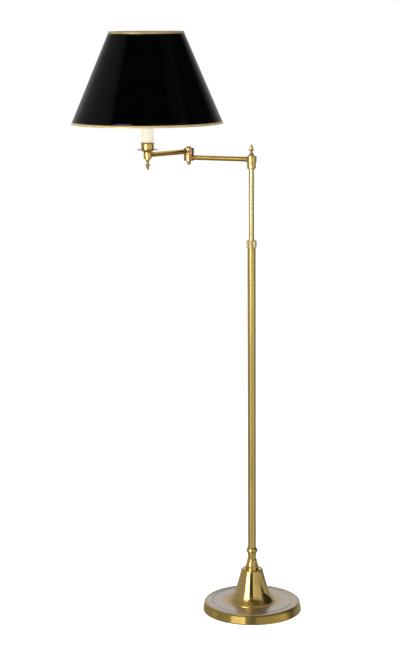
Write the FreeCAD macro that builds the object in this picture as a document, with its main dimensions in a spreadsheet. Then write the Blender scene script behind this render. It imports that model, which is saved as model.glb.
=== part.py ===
import FreeCAD, Part
import math
import os
import Sketcher
from FreeCAD import Placement, Rotation, Vector

# Adjustable arm floor lamp: weighted round base, turned stem, telescoping
# pole, two-link swing arm and a tapered card shade.  Millimetres, +Z up.
# Origin: centre of the underside of the base, on the pole axis.
# -Y is the front of the lamp, +X its right-hand side.

os.makedirs("parts", exist_ok=True)
doc = FreeCAD.newDocument("arm_floor_lamp")

# ----------------------------------------------------------------- sizes
SIZES = [
    ("base_dia", 254.0), ("base_top_dia", 243.6), ("base_high", 25.2),
    ("plate_top", 24.1), ("cover_wall", 2.2), ("felt_dia", 241.0),
    ("felt_thick", 2.0), ("weight_dia", 237.6), ("nut_pocket_dia", 34.0),
    ("inlet_level", 10.5), ("inlet_bore_dia", 7.0), ("inlet_body_dia", 11.0),
    ("rod_dia", 10.0), ("rod_bore_dia", 7.0), ("rod_top", 168.0),
    ("bell_foot_dia", 122.8), ("bell_high", 110.0), ("bell_top_dia", 51.4),
    ("bell_seat_dia", 35.2), ("bell_wall", 1.7), ("stem_foot", 107.7),
    ("stem_foot_dia", 33.7), ("stem_neck_dia", 21.0), ("stem_ring_dia", 22.0),
    ("stem_bead_dia", 29.8), ("stem_high", 166.5), ("pole_foot", 152.5),
    ("lower_pole_dia", 21.0), ("lower_pole_bore", 18.0), ("lower_pole_top", 957.0),
    ("guide_low", 925.0), ("upper_pole_dia", 14.0), ("upper_pole_bore", 10.0),
    ("upper_pole_low", 779.0), ("upper_pole_top", 1153.0), ("slide_play", 0.05),
    ("lock_dia", 26.4), ("lock_low", 947.3), ("lock_high", 966.0),
    ("lock_thread_bore", 21.14), ("collar_dia", 22.0), ("collar_low", 1145.0),
    ("collar_high", 1159.4), ("hub_low", 1160.1), ("hub_high", 1176.7),
    ("knuckle_dia", 25.6), ("knuckle_round", 1.1), ("pivot_dia", 10.0),
    ("pivot_bore", 6.0), ("pivot_play", 0.05), ("arm_dia", 12.0),
    ("arm_bore", 9.6), ("arm_inset", 7.0), ("head_inset", 5.7),
    ("inner_reach", 171.8), ("inner_heading", 155.0), ("inner_level", 1168.4),
    ("outer_reach", 142.34), ("outer_heading", 44.744), ("outer_level", 1183.6),
    ("elbow_low", 1160.2), ("elbow_seam", 1176.0), ("elbow_high", 1192.4),
    ("elbow_gap", 0.5), ("finial_base_dia", 15.5), ("finial_disc_dia", 14.4),
    ("finial_length", 28.9), ("finial_seat", 1176.9), ("head_low", 1174.4),
    ("head_high", 1190.8), ("head_dia", 20.0), ("nipple_dia", 10.0),
    ("nipple_bore", 7.0), ("nipple_low", 1186.0), ("nipple_top", 1271.0),
    ("pan_dia", 53.0), ("cup_dia", 31.0), ("cup_lip_dia", 35.4),
    ("cup_high", 1214.5), ("sleeve_dia", 30.0), ("sleeve_bore", 28.2),
    ("sleeve_low", 1211.3), ("sleeve_top", 1272.0), ("socket_cap_dia", 35.7),
    ("socket_dia", 34.0), ("socket_wall", 0.8), ("socket_low", 1279.5),
    ("socket_top", 1314.0), ("screw_shell_bore", 26.2), ("screw_shell_low", 1297.5),
    ("switch_level", 1289.0), ("switch_shaft_dia", 4.0), ("switch_knob_dia", 11.2),
    ("fitter_level", 1299.5), ("fitter_thick", 2.0), ("fitter_dia", 50.0),
    ("wire_dia", 3.0), ("ring_wire_dia", 2.4), ("bulb_dia", 60.0),
    ("bulb_centre", 1373.0), ("bulb_base_dia", 25.9), ("shade_low", 1260.9),
    ("shade_high", 1484.5), ("shade_low_dia", 374.4), ("shade_high_dia", 183.6),
    ("card_thick", 1.3), ("trim_thick", 0.4), ("trim_width", 5.3),
]
sheet = doc.addObject("Spreadsheet::Sheet", "Sizes")
for row, (alias, number) in enumerate(SIZES, start=1):
    sheet.set("A%d" % row, str(number))
    sheet.setAlias("A%d" % row, alias)
doc.recompute()
NUMBER = dict(SIZES)


class Dim:
    """A length written as a sum of multiples of sheet cells and a constant."""

    def __init__(self, terms, const=0.0):
        self.terms = dict(terms)
        self.const = float(const)

    def __add__(self, other):
        if isinstance(other, Dim):
            terms = dict(self.terms)
            for alias, k in other.terms.items():
                terms[alias] = terms.get(alias, 0.0) + k
            return Dim(terms, self.const + other.const)
        return Dim(self.terms, self.const + other)

    __radd__ = __add__

    def __mul__(self, k):
        return Dim({a: c * k for a, c in self.terms.items()}, self.const * k)

    __rmul__ = __mul__

    def __truediv__(self, k):
        return self * (1.0 / k)

    def __neg__(self):
        return self * -1.0

    def __sub__(self, other):
        return self + (-other if isinstance(other, Dim) else -float(other))

    def __rsub__(self, other):
        return -self + other

    @property
    def value(self):
        return self.const + sum(NUMBER[a] * k for a, k in self.terms.items())

    @property
    def text(self):
        words = ["Sizes.%s * %.9g" % (a, k) for a, k in self.terms.items()]
        return " + ".join(words + ["%.9g" % self.const]).replace("+ -", "- ")


def cell(alias):
    return Dim({alias: 1.0})


def half(alias):
    return Dim({alias: 0.5})


def value(length):
    return length.value if isinstance(length, Dim) else float(length)


# ------------------------------------------------------------- stations
INNER_X = "Sizes.inner_reach * cos(Sizes.inner_heading)"
INNER_Y = "Sizes.inner_reach * sin(Sizes.inner_heading)"
OUTER_X = INNER_X + " - Sizes.outer_reach * cos(Sizes.outer_heading)"
OUTER_Y = INNER_Y + " - Sizes.outer_reach * sin(Sizes.outer_heading)"
_a = math.radians(NUMBER["inner_heading"])
_b = math.radians(NUMBER["outer_heading"])
ELBOW_XY = (NUMBER["inner_reach"] * math.cos(_a), NUMBER["inner_reach"] * math.sin(_a))
HEAD_XY = (ELBOW_XY[0] - NUMBER["outer_reach"] * math.cos(_b),
           ELBOW_XY[1] - NUMBER["outer_reach"] * math.sin(_b))
STATION = {
    "pole": (None, (0.0, 0.0)),
    "elbow": ((INNER_X, INNER_Y), ELBOW_XY),
    "head": ((OUTER_X, OUTER_Y), HEAD_XY),
}
NODES = []


def stand(obj, station, heading=None):
    """Put a sub-part at the pole, the elbow or the head, turned to a heading."""
    text, (x, y) = STATION[station]
    angle = NUMBER[heading] if heading else 0.0
    obj.Placement = Placement(Vector(x, y, 0), Rotation(Vector(0, 0, 1), angle))
    if heading:
        obj.setExpression("Placement.Rotation.Angle", "Sizes." + heading)
    if text:
        obj.setExpression("Placement.Base.x", text[0])
        obj.setExpression("Placement.Base.y", text[1])
    NODES.append(obj)
    return obj


# --------------------------------------------------------------- sketches
def origin_plane(body, role):
    for feature in body.Origin.OriginFeatures:
        if feature.Role == role:
            return feature
    raise RuntimeError("no origin feature " + role)


def new_sketch(body, name, role, offset=None):
    sketch = body.newObject("Sketcher::SketchObject", name)
    sketch.AttachmentSupport = (origin_plane(body, role), [""])
    sketch.MapMode = "FlatFace"
    if offset is not None:
        sketch.AttachmentOffset = Placement(Vector(0, 0, value(offset)), Rotation())
        if isinstance(offset, Dim):
            sketch.setExpression("AttachmentOffset.Base.z", offset.text)
    return sketch


def pin_point(sketch, geo, pos, x, y, tag):
    """Hold one sketch point at (x, y) from the sketch origin."""
    for axis, kind, length in ((-2, "DistanceX", x), (-1, "DistanceY", y)):
        if not isinstance(length, Dim) and abs(float(length)) < 1e-9:
            sketch.addConstraint(Sketcher.Constraint("PointOnObject", geo, pos, axis))
            continue
        index = sketch.addConstraint(
            Sketcher.Constraint(kind, -1, 1, geo, pos, value(length)))
        name = "%s_%s" % (kind[-1].lower() + "_of", tag)
        sketch.renameConstraint(index, name)
        if isinstance(length, Dim):
            sketch.setExpression("Constraints." + name, length.text)


def arc_between(a, b, radius):
    """Centre of the minor arc from a to b; radius > 0 turns left, < 0 right."""
    dx, dy = b[0] - a[0], b[1] - a[1]
    chord = math.hypot(dx, dy)
    rise = math.sqrt(max(radius * radius - chord * chord / 4.0, 0.0))
    side = 1.0 if radius > 0 else -1.0
    return ((a[0] + b[0]) / 2.0 - side * dy / chord * rise,
            (a[1] + b[1]) / 2.0 + side * dx / chord * rise)


def draw_outline(sketch, outline):
    """Closed outline of (x, y) or (x, y, arc radius to the next corner)."""
    pts = [(value(p[0]), value(p[1])) for p in outline]
    count = len(pts)
    ends = []
    for i, corner in enumerate(outline):
        a, b = pts[i], pts[(i + 1) % count]
        if len(corner) == 3:
            radius = value(corner[2])
            cx, cy = arc_between(a, b, radius)
            circle = Part.Circle(Vector(cx, cy, 0), Vector(0, 0, 1), abs(radius))
            first, last = (a, b) if radius > 0 else (b, a)
            t0 = math.atan2(first[1] - cy, first[0] - cx)
            t1 = math.atan2(last[1] - cy, last[0] - cx)
            if t1 <= t0:
                t1 += 2.0 * math.pi
            geo = sketch.addGeometry(Part.ArcOfCircle(circle, t0, t1), False)
            ends.append((geo, 1, 2) if radius > 0 else (geo, 2, 1))
        else:
            geo = sketch.addGeometry(
                Part.LineSegment(Vector(a[0], a[1], 0), Vector(b[0], b[1], 0)), False)
            ends.append((geo, 1, 2))
    for i in range(count):
        geo, start, finish = ends[i]
        after = ends[(i + 1) % count]
        sketch.addConstraint(
            Sketcher.Constraint("Coincident", geo, finish, after[0], after[1]))
    for i, corner in enumerate(outline):
        geo, start, finish = ends[i]
        pin_point(sketch, geo, start, corner[0], corner[1], str(i))
        if len(corner) == 3:
            index = sketch.addConstraint(
                Sketcher.Constraint("Radius", geo, abs(value(corner[2]))))
            if isinstance(corner[2], Dim):
                name = "round_%d" % i
                sketch.renameConstraint(index, name)
                sign = 1.0 if value(corner[2]) > 0 else -1.0
                sketch.setExpression("Constraints." + name, (corner[2] * sign).text)
    return sketch


def draw_circle(sketch, x, y, radius):
    geo = sketch.addGeometry(
        Part.Circle(Vector(value(x), value(y), 0), Vector(0, 0, 1), value(radius)), False)
    pin_point(sketch, geo, 3, x, y, "centre")
    index = sketch.addConstraint(Sketcher.Constraint("Radius", geo, value(radius)))
    if isinstance(radius, Dim):
        sketch.renameConstraint(index, "radius")
        sketch.setExpression("Constraints.radius", radius.text)
    return sketch


# ------------------------------------------------------------ body makers
def lathe(label, outline, station="pole", heading=None):
    """A turned piece: its outline of (radius, height) swept round its own Z."""
    body = doc.addObject("PartDesign::Body", label)
    body.Label = label
    sketch = new_sketch(body, label + "_profile", "XZ_Plane")
    draw_outline(sketch, outline)
    turn = body.newObject("PartDesign::Revolution", label + "_turning")
    turn.Profile = sketch
    turn.ReferenceAxis = (sketch, ["V_Axis"])
    turn.Angle = 360.0
    body.Tip = turn
    return stand(body, station, heading)


def drill(body, name, level, radius, start, length, side):
    """Round hole along the piece's own X, from start outwards to one side."""
    offset = start * side
    sketch = new_sketch(body, name + "_circle", "YZ_Plane", offset)
    draw_circle(sketch, 0.0, level, radius)
    hole = body.newObject("PartDesign::Pocket", name)
    hole.Profile = sketch
    hole.Type = 0
    hole.Length = value(length)
    hole.Reversed = side > 0
    body.Tip = hole
    return hole


def mill(body, name, plane, outline, length, reverse, offset=None):
    """Pocket of a closed outline drawn on one of the body's own planes."""
    sketch = new_sketch(body, name + "_outline", plane, offset)
    draw_outline(sketch, outline)
    cut = body.newObject("PartDesign::Pocket", name)
    cut.Profile = sketch
    cut.Type = 0
    cut.Length = value(length)
    cut.Reversed = reverse
    body.Tip = cut
    return cut


def around(body, name, feature, count):
    pattern = body.newObject("PartDesign::PolarPattern", name)
    pattern.Originals = [feature]
    pattern.Axis = (origin_plane(body, "Z_Axis"), [""])
    pattern.Angle = 360.0
    pattern.Occurrences = count
    body.Tip = pattern
    return pattern


def hex_nut(label, across_flats, bore_radius, low, high, station="pole"):
    prism = doc.addObject("Part::Prism", label + "_blank")
    prism.Polygon = 6
    prism.Circumradius = across_flats / math.sqrt(3.0)
    prism.Height = high - low
    prism.Placement = Placement(Vector(0, 0, low), Rotation())
    hole = doc.addObject("Part::Cylinder", label + "_hole")
    hole.setExpression("Radius", bore_radius.text)
    hole.Height = high - low + 4
    hole.Placement = Placement(Vector(0, 0, low - 2), Rotation())
    nut = doc.addObject("Part::Cut", label)
    nut.Label = label
    nut.Base = prism
    nut.Tool = hole
    return stand(nut, station)


# ------------------------------------------------------------------ base
R = half("base_dia")
TOPR = half("base_top_dia")
HIGH = cell("base_high")
PLATE = cell("plate_top")
UNDER = PLATE - cell("cover_wall")
ROD_R = half("rod_dia")
FELT = cell("felt_thick")

lathe("base_felt_pad", [(0, 0), (half("felt_dia"), 0), (half("felt_dia"), FELT), (0, FELT)])

weight = lathe("base_weight", [
    (half("nut_pocket_dia"), FELT), (half("weight_dia") - 1.5, FELT),
    (half("weight_dia"), FELT + 1.5), (half("weight_dia"), UNDER - 1.5),
    (half("weight_dia") - 1.5, UNDER), (ROD_R + 0.3, UNDER),
    (ROD_R + 0.3, FELT + 10.0), (half("nut_pocket_dia"), FELT + 10.0)])
# channel for the cord from the inlet at the back to the nut pocket
mill(weight, "base_weight_channel", "XY_Plane",
     [(-5.0, half("nut_pocket_dia") - 6.0), (5.0, half("nut_pocket_dia") - 6.0),
      (5.0, half("weight_dia") + 6.0), (-5.0, half("weight_dia") + 6.0)],
     FELT + 13.5, True)

cover = lathe("base_disc", [
    (ROD_R + 0.3, UNDER), (TOPR - 1.6, UNDER), (R - 2.6, 0.6), (R - 0.8, 0.6, 0.9),
    (R, 1.5), (R - 0.05, 3.4), (TOPR + 2.0, HIGH - 4.3, 5.0), (TOPR - 1.0, HIGH - 1.4, 14.0),
    (TOPR - 7.2, HIGH), (TOPR - 8.2, HIGH), (TOPR - 8.9, PLATE), (105.4, PLATE), (104.7, PLATE - 0.6),
    (103.3, PLATE - 0.6), (102.6, PLATE), (66.2, PLATE), (65.7, PLATE - 0.4),
    (64.7, PLATE - 0.4), (64.2, PLATE), (ROD_R + 0.3, PLATE)])
# round hole for the cord bushing in the back of the rim
inlet = new_sketch(cover, "base_disc_inlet_circle", "XZ_Plane", -(R - 17.0))
draw_circle(inlet, 0.0, cell("inlet_level"), half("inlet_body_dia") + 0.1)
hole = cover.newObject("PartDesign::Pocket", "base_disc_inlet")
hole.Profile = inlet
hole.Type = 0
hole.Length = 30.0
hole.Reversed = False
cover.Tip = hole

bushing = doc.addObject("PartDesign::Body", "cord_inlet_bushing")
bushing.Label = "cord_inlet_bushing"
profile = new_sketch(bushing, "cord_inlet_bushing_profile", "XZ_Plane")
draw_outline(profile, [
    (half("inlet_bore_dia"), 119.5), (half("inlet_body_dia"), 119.5),
    (half("inlet_body_dia"), 127.2), (7.0, 127.2), (7.0, 127.9), (6.2, 128.6),
    (half("inlet_bore_dia") + 0.5, 128.6), (half("inlet_bore_dia"), 128.1)])
turn = bushing.newObject("PartDesign::Revolution", "cord_inlet_bushing_turning")
turn.Profile = profile
turn.ReferenceAxis = (profile, ["V_Axis"])
turn.Angle = 360.0
bushing.Tip = turn
# the bushing lies on its side: its own Z runs out of the back of the rim
bushing.Placement = Placement(Vector(0, 0, NUMBER["inlet_level"]),
                              Rotation(Vector(1, 0, 0), -90))
bushing.setExpression("Placement.Base.z", "Sizes.inlet_level")
NODES.append(bushing)

lathe("base_washer", [(ROD_R + 0.2, FELT + 8.0), (14.0, FELT + 8.0),
                      (14.0, FELT + 10.0), (ROD_R + 0.2, FELT + 10.0)])
hex_nut("base_hex_nut", 17.0, ROD_R + 0.03, 3.8, 10.0)
lathe("base_threaded_rod", [(half("rod_bore_dia"), FELT + 1.2), (ROD_R, FELT + 1.2),
                            (ROD_R, cell("rod_top")),
                            (half("rod_bore_dia"), cell("rod_top"))])

BELL = cell("bell_high")
BTR = half("bell_top_dia")
BFR = half("bell_foot_dia")
SEAT = cell("stem_foot")
BW = cell("bell_wall")
lathe("base_bell", [
    (BFR - 4.2, PLATE), (BFR, PLATE), (BFR, PLATE + 0.5, 0.7), (BFR - 0.7, PLATE + 1.15),
    (BFR - 1.1, PLATE + 1.2, -7.0), (BFR - 5.6, PLATE + 4.25), (51.4, 35.0, -70.0),
    (43.2, 52.0, -560.0), (28.45, BELL - 4.6, 4.2), (BTR - 0.3, BELL),
    (half("bell_seat_dia"), BELL), (half("bell_seat_dia"), SEAT),
    (ROD_R + 0.3, SEAT), (ROD_R + 0.3, SEAT - 2.2), (25.2, SEAT - 2.2, 2.6),
    (26.6, BELL - 7.2, 560.0), (43.1 - BW, 52.0, 71.7), (51.7 - BW, 34.1),
    (BFR - 5.3 - BW, PLATE + 3.3)])

NECK = half("stem_neck_dia")
RING = half("stem_ring_dia")
BEAD = half("stem_bead_dia")
SFR = half("stem_foot_dia")
STOP = cell("stem_high")
FOOT = cell("pole_foot")
lathe("stem_vase", [
    (ROD_R + 0.15, SEAT), (SFR - 0.4, SEAT), (SFR, SEAT + 0.4), (SFR, SEAT + 10.6, 1.2),
    (SFR - 0.95, SEAT + 11.9, -90.0), (12.6, SEAT + 24.6, 2.6), (NECK + 0.5, SEAT + 28.0, -0.9),
    (NECK, SEAT + 29.0), (NECK, STOP - 19.5, -0.8), (RING, STOP - 18.7),
    (RING, STOP - 16.2, -0.6), (RING + 0.5, STOP - 15.4, -9.0), (BEAD - 0.5, STOP - 10.2, 1.5),
    (BEAD - 0.4, STOP - 7.6, 14.0), (half("lower_pole_dia") + 1.1, STOP - 0.5),
    (half("lower_pole_dia") + 0.8, STOP), (half("lower_pole_dia") + 0.05, STOP),
    (half("lower_pole_dia") + 0.05, FOOT), (ROD_R + 0.15, FOOT)])

# ------------------------------------------------------------------ pole
LPR = half("lower_pole_dia")
LPB = half("lower_pole_bore")
LPT = cell("lower_pole_top")
UPR = half("upper_pole_dia")
lathe("pole_foot_plug", [(ROD_R + 0.03, FOOT), (LPB - 0.05, FOOT),
                         (LPB - 0.05, FOOT + 17.5), (ROD_R + 0.03, FOOT + 17.5)])
lathe("lower_pole_tube", [(LPB, FOOT), (LPR, FOOT), (LPR, LPT - 0.5), (LPR - 0.5, LPT),
                          (LPB, LPT)])
lathe("pole_guide_bush", [(UPR + cell("slide_play"), cell("guide_low")),
                          (LPB - 0.05, cell("guide_low")), (LPB - 0.05, LPT),
                          (UPR + cell("slide_play"), LPT)])
collet = lathe("lock_collet", [
    (UPR + cell("slide_play"), LPT), (LPB + 0.9, LPT), (LPB + 0.9, LPT + 3.3),
    (UPR + 0.6, LPT + 5.9), (UPR + cell("slide_play"), LPT + 5.9)])
slot = mill(collet, "lock_collet_slot", "XZ_Plane",
            [(-0.5, LPT + 1.2), (0.5, LPT + 1.2), (0.5, LPT + 8.0), (-0.5, LPT + 8.0)],
            14.0, False)
around(collet, "lock_collet_slots", slot, 4)

LK0 = cell("lock_low")
LK1 = cell("lock_high")
LKR = half("lock_dia")
lock = lathe("height_lock_nut", [
    (half("lock_thread_bore"), LK0), (LKR - 1.3, LK0), (LKR - 0.5, LK0 + 0.5),
    (LKR, LK0 + 1.7), (LKR, LK1 - 1.7), (LKR - 0.5, LK1 - 0.5), (LKR - 1.3, LK1),
    (UPR + 0.4, LK1), (UPR + 0.4, LK1 - 1.6), (half("lock_thread_bore"), LK1 - 4.5)])
knurl = mill(lock, "height_lock_nut_flute", "XY_Plane",
             [(LKR - 0.55, 0), (LKR + 0.4, 0.95), (LKR + 0.4, -0.95)],
             LK1 - LK0 + 4.0, True, LK0 - 2.0)
around(lock, "height_lock_nut_knurl", knurl, 40)

lathe("upper_pole_tube", [
    (half("upper_pole_bore"), cell("upper_pole_low")), (UPR, cell("upper_pole_low")),
    (UPR, cell("upper_pole_top")), (half("upper_pole_bore"), cell("upper_pole_top"))])
lathe("upper_pole_stop_bush", [
    (UPR + 0.02, cell("upper_pole_low")), (LPB - 0.08, cell("upper_pole_low")),
    (LPB - 0.08, cell("upper_pole_low") + 20.0), (UPR + 0.02, cell("upper_pole_low") + 20.0)])

# ------------------------------------------------------------------- hub
CR = half("collar_dia")
CLO = cell("collar_low")
CHI = cell("collar_high")
PIV = half("pivot_dia")
PBR = half("pivot_bore")
lathe("hub_lower_collar", [
    (UPR + 0.02, CLO - 0.9), (UPR + 0.9, CLO - 0.9), (UPR + 1.2, CLO), (CR - 1.8, CLO, 2.0),
    (CR, CLO + 2.0), (CR, CHI - 0.8, 0.8),
    (CR - 0.8, CHI), (PIV + 0.02, CHI), (PIV + 0.02, cell("upper_pole_top")),
    (UPR + 0.02, cell("upper_pole_top"))])
stud = lathe("hub_pivot_stud", [
    (PBR, cell("upper_pole_top")), (PIV, cell("upper_pole_top")), (PIV, cell("hub_high")),
    (2.5, cell("hub_high")), (2.5, cell("hub_high") + 5.6), (0, cell("hub_high") + 5.6),
    (0, cell("hub_high") - 3.0), (PBR, cell("hub_high") - 3.0)], "pole", "inner_heading")
drill(stud, "hub_pivot_stud_window", cell("inner_level"), 2.6, Dim({}, 2.0), 5.0, 1)
lathe("hub_friction_washer", [(PIV + 0.1, CHI), (CR - 0.6, CHI), (CR - 0.6, CHI + 0.55),
                              (PIV + 0.1, CHI + 0.55)])


def knuckle(label, low, high, outer, level, side, inset, station, heading, stem=None):
    """Barrel end of an arm: a bore on its axis and a socket for the tube."""
    e = cell("knuckle_round")
    if stem is None:
        outline = [(PIV + cell("pivot_play"), low), (outer - e, low, e), (outer, low + e),
                   (outer, high - e, e), (outer - e, high), (PIV + cell("pivot_play"), high)]
    else:
        outline = [(0, stem), (2.5, stem), (2.5, low), (outer - e, low, e), (outer, low + e),
                   (outer, high - e, e), (outer - e, high), (PIV + 0.05, high),
                   (PIV + 0.05, low + 3.4), (0, low + 3.4)]
    body = lathe(label, outline, station, heading)
    drill(body, label + "_socket", level, half("arm_dia") + 0.03, inset, 12.0, side)
    drill(body, label + "_passage", level, 4.0, inset - 3.5, 5.0, side)
    return body


KR = half("knuckle_dia")
knuckle("hub_knuckle", cell("hub_low"), cell("hub_high"), KR, cell("inner_level"), 1,
        cell("arm_inset"), "pole", "inner_heading")


def finial(label, seat, up, station):
    """Turned finial: flared foot, thin neck, disc and spire."""
    k = 1.0 if up else -1.0
    fb, fd, length = half("finial_base_dia"), half("finial_disc_dia"), cell("finial_length")
    shape = [(2.55, 0.0), (fb, 0.0), (fb, 1.4), (fb - 0.9, 2.1, -13.0), (3.5, 9.2),
             (2.8, 10.6, -1.7), (3.5, 12.3), (fd - 0.9, 13.4), (fd - 0.1, 13.9, 0.8),
             (fd - 0.1, 15.1), (fd - 0.9, 15.6), (4.9, 16.2, 30.0), (2.3, length - 2.7, 2.6),
             (0.5, length), (0, length), (0, 5.9), (2.55, 5.9)]
    outline = []
    for corner in shape:
        height = seat + corner[1] * k
        if len(corner) == 3:
            outline.append((corner[0], height, corner[2] * k))
        else:
            outline.append((corner[0], height))
    return lathe(label, outline, station)


finial("top_finial", cell("finial_seat"), True, "pole")


def arm_tube(label, near, far, level, station, heading):
    """Plain round tube lying along its own X."""
    body = doc.addObject("PartDesign::Body", label)
    body.Label = label
    sketch = new_sketch(body, label + "_section", "YZ_Plane", near)
    draw_circle(sketch, 0.0, level, half("arm_dia"))
    tube = body.newObject("PartDesign::Pad", label + "_pad")
    tube.Profile = sketch
    tube.Type = 0
    tube.setExpression("Length", (far - near).text)
    body.Tip = tube
    doc.recompute()
    inside = new_sketch(body, label + "_bore_circle", "YZ_Plane", near)
    draw_circle(inside, 0.0, level, half("arm_bore"))
    bore = body.newObject("PartDesign::Pocket", label + "_bore")
    bore.Profile = inside
    bore.Type = 0
    bore.setExpression("Length", (far - near).text)
    bore.Reversed = True
    body.Tip = bore
    return stand(body, station, heading)


arm_tube("inner_arm_tube", cell("arm_inset"), cell("inner_reach") - cell("arm_inset"),
         cell("inner_level"), "pole", "inner_heading")

# ----------------------------------------------------------------- elbow
EL0 = cell("elbow_low")
ESM = cell("elbow_seam")
EL1 = cell("elbow_high")
knuckle("elbow_lower_knuckle", EL0, ESM, KR, cell("inner_level"), -1,
        cell("arm_inset"), "elbow", "inner_heading")
pin = lathe("elbow_pivot_pin", [
    (PBR, EL0 - 6.6), (PBR + 1.0, EL0 - 6.6), (PBR + 1.0, EL0), (PIV, EL0),
    (PIV, EL1 - 0.1), (PBR + 1.0, EL1 - 0.1), (PBR + 1.0, EL1 + 2.6), (PBR, EL1 + 2.6)],
    "elbow", "inner_heading")
drill(pin, "elbow_pivot_pin_inner_window", cell("inner_level"), 2.6, Dim({}, 2.0), 5.0, -1)
drill(pin, "elbow_pivot_pin_outer_window", cell("outer_level"), 2.6, Dim({}, 2.0), 5.0, -1)
lathe("elbow_friction_washer", [(PIV + 0.1, ESM), (KR - 1.3, ESM), (KR - 1.3, ESM + 0.4),
                                (PIV + 0.1, ESM + 0.4)], "elbow")
lathe("elbow_ball_nut", [
    (0, EL0 - 10.9), (0.7, EL0 - 10.8, 6.5), (4.9, EL0 - 7.4, 5.0), (5.7, EL0 - 4.8, 5.6),
    (4.9, EL0 - 1.7), (5.5, EL0 - 1.2), (5.5, EL0), (PBR + 1.03, EL0),
    (PBR + 1.03, EL0 - 6.8), (0, EL0 - 6.8)], "elbow")
lathe("elbow_cap", [
    (PBR + 1.03, EL1 + 0.1), (5.6, EL1 + 0.1), (5.6, EL1 + 3.1, 0.8), (4.8, EL1 + 3.9, 26.0),
    (0.5, EL1 + 4.3), (0, EL1 + 4.3),
    (0, EL1 + 2.8), (PBR + 1.03, EL1 + 2.8)], "elbow")
knuckle("elbow_upper_knuckle", ESM + cell("elbow_gap"), EL1, KR, cell("outer_level"), -1,
        cell("arm_inset"), "elbow", "outer_heading")

# ------------------------------------------------------------------ head
HLO = cell("head_low")
HHI = cell("head_high")
arm_tube("outer_arm_tube", cell("head_inset"), cell("outer_reach") - cell("arm_inset"),
         cell("outer_level"), "head", "outer_heading")
knuckle("head_knuckle", HLO, HHI, half("head_dia"), cell("outer_level"), 1,
        cell("head_inset"), "head", "outer_heading", HLO - 5.7)
finial("bottom_finial", HLO, False, "head")
NIP = half("nipple_dia")
lathe("lamp_nipple", [(half("nipple_bore"), cell("nipple_low")), (NIP, cell("nipple_low")),
                      (NIP, cell("nipple_top")), (half("nipple_bore"), cell("nipple_top"))],
      "head")
PR = half("pan_dia")
lathe("drip_pan", [
    (NIP + 0.1, HHI), (7.6, HHI, 11.0), (15.6, HHI + 4.0, -2.6), (17.4, HHI + 4.9),
    (PR - 0.5, HHI + 5.4, 0.5), (PR, HHI + 5.9, 0.5), (PR - 0.5, HHI + 6.4),
    (17.34, HHI + 5.9, 3.6), (14.83, HHI + 4.64, -10.0), (7.55, HHI + 1.0),
    (NIP + 0.1, HHI + 1.0)], "head")
CUP = half("cup_dia")
LIP = half("cup_lip_dia")
CHT = cell("cup_high")
SLB = half("sleeve_dia")
lathe("candle_cup", [
    (NIP + 0.1, HHI + 1.0), (6.9, HHI + 1.0), (6.9, HHI + 1.6, 9.0), (CUP - 0.7, HHI + 6.0, 0.9),
    (CUP, HHI + 6.9), (CUP, CHT - 4.6, -5.0), (LIP - 0.3, CHT - 0.9, 0.5), (LIP - 0.3, CHT),
    (LIP - 1.2, CHT), (SLB + 0.15, CHT - 1.8), (SLB + 0.15, cell("sleeve_low") - 0.2),
    (14.3, cell("sleeve_low") - 0.2), (14.3, HHI + 6.6), (12.0, HHI + 4.2), (8.6, HHI + 2.6),
    (NIP + 0.1, HHI + 2.6)], "head")
hex_nut("nipple_lock_nut", 14.0, NIP + 0.03, NUMBER["head_high"] + 2.6,
        NUMBER["head_high"] + 7.0, "head")
lathe("candle_sleeve", [
    (half("sleeve_bore"), cell("sleeve_low")), (SLB, cell("sleeve_low")),
    (SLB, cell("sleeve_top")), (half("sleeve_bore"), cell("sleeve_top"))], "head")

# ---------------------------------------------------------------- socket
SCR = half("socket_cap_dia")
SOR = half("socket_dia")
SW = cell("socket_wall")
SLO = cell("socket_low")
STO = cell("socket_top")
lathe("socket_cap", [
    (NIP + 0.03, SLO - 13.5), (7.2, SLO - 13.5), (7.2, SLO - 10.3, 13.0), (SCR, SLO - 1.0),
    (SCR, SLO + 5.5), (SCR - SW, SLO + 5.5), (SCR - SW, SLO - 0.7, -12.2),
    (7.4, SLO - 9.4), (NIP + 0.03, SLO - 9.4)], "head")
shell = lathe("socket_shell", [(SOR - SW, SLO), (SOR, SLO), (SOR, STO), (SOR - SW, STO)],
              "head")
drill(shell, "socket_shell_window", cell("switch_level"), 2.4, Dim({}, 12.0), 8.0, 1)
liner = lathe("socket_liner", [
    (SOR - SW - 0.8, SLO + 1.5), (SOR - SW - 0.05, SLO + 1.5), (SOR - SW - 0.05, STO + 1.5),
    (SOR - SW - 0.8, STO + 1.5)], "head")
drill(liner, "socket_liner_window", cell("switch_level"), 2.6, Dim({}, 11.0), 8.0, 1)
SSL = cell("screw_shell_low")
SSB = half("screw_shell_bore")
core = lathe("socket_body", [(0, SLO + 2.0), (SOR - SW - 1.0, SLO + 2.0),
                             (SOR - SW - 1.0, SSL), (0, SSL)], "head")
drill(core, "socket_body_switch_bore", cell("switch_level"),
      half("switch_shaft_dia") + 0.05, Dim({}, 7.0), 12.0, 1)
lathe("socket_screw_shell", [
    (6.0, SSL), (SSB + 0.4, SSL), (SSB + 0.4, SSL + 22.5), (SSB, SSL + 22.5),
    (SSB, SSL + 0.5), (6.0, SSL + 0.5)], "head")
lathe("socket_centre_contact", [(0, SSL), (4.0, SSL), (4.0, SSL + 1.1), (2.6, SSL + 2.1),
                                (0, SSL + 2.1)], "head")
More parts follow.
